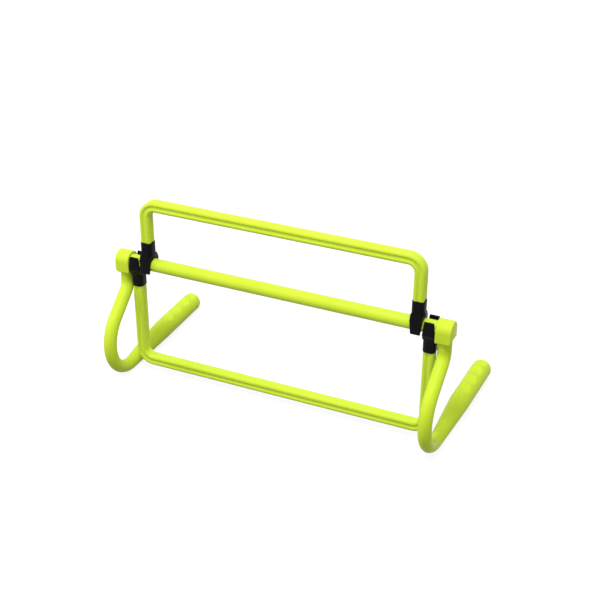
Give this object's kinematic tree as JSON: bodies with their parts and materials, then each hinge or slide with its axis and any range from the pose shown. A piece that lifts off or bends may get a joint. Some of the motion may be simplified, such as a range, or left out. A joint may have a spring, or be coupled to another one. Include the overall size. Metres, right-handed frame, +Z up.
{
  "type": "speed hurdle",
  "caption": "Low training hurdle with a round crossbar on bent tube legs and nested U-shaped frames that flip up on snap clips to raise the bar.",
  "frame": {"origin": "on the floor, under the middle of the hurdle's outer box with the short frame up and the long one down", "axes": "+X along the crossbar, +Y towards the tips of the feet, +Z up"},
  "size_m": [0.4442, 0.2277, 0.2394],
  "materials": {
    "bar_plastic": "satin",
    "moulded_plastic": "satin",
    "clip_plastic": "satin",
    "plug_plastic": "matt",
    "steel": "zinc plated"
  },
  "bodies": {
    "base": {"crossbar": "bar_plastic", "left_end_plug": "plug_plastic", "right_end_plug": "plug_plastic", "left_corner_cap": "moulded_plastic", "left_leg": "moulded_plastic", "right_corner_cap": "moulded_plastic", "right_leg": "moulded_plastic", "bar_screws": "steel", "leg_screws": "steel"},
    "inner_flip": {"inner_frame": "bar_plastic", "inner_left_clip": "clip_plastic", "inner_right_clip": "clip_plastic", "inner_clip_pins": "clip_plastic"},
    "outer_flip": {"outer_frame": "bar_plastic", "outer_left_clip": "clip_plastic", "outer_right_clip": "clip_plastic", "outer_clip_pins": "clip_plastic"}
  },
  "joints": [
    {"name": "inner_flip_hinge", "type": "hinge", "parent": "base", "child": "inner_flip", "pos_m": [0, -0.05418, 0.153], "axis": [1, 0, 0], "range_deg": [-13, 182]},
    {"name": "outer_flip_hinge", "type": "hinge", "parent": "base", "child": "outer_flip", "pos_m": [0, -0.05418, 0.153], "axis": [-1, 0, 0], "range_deg": [-2, 193]}
  ]
}
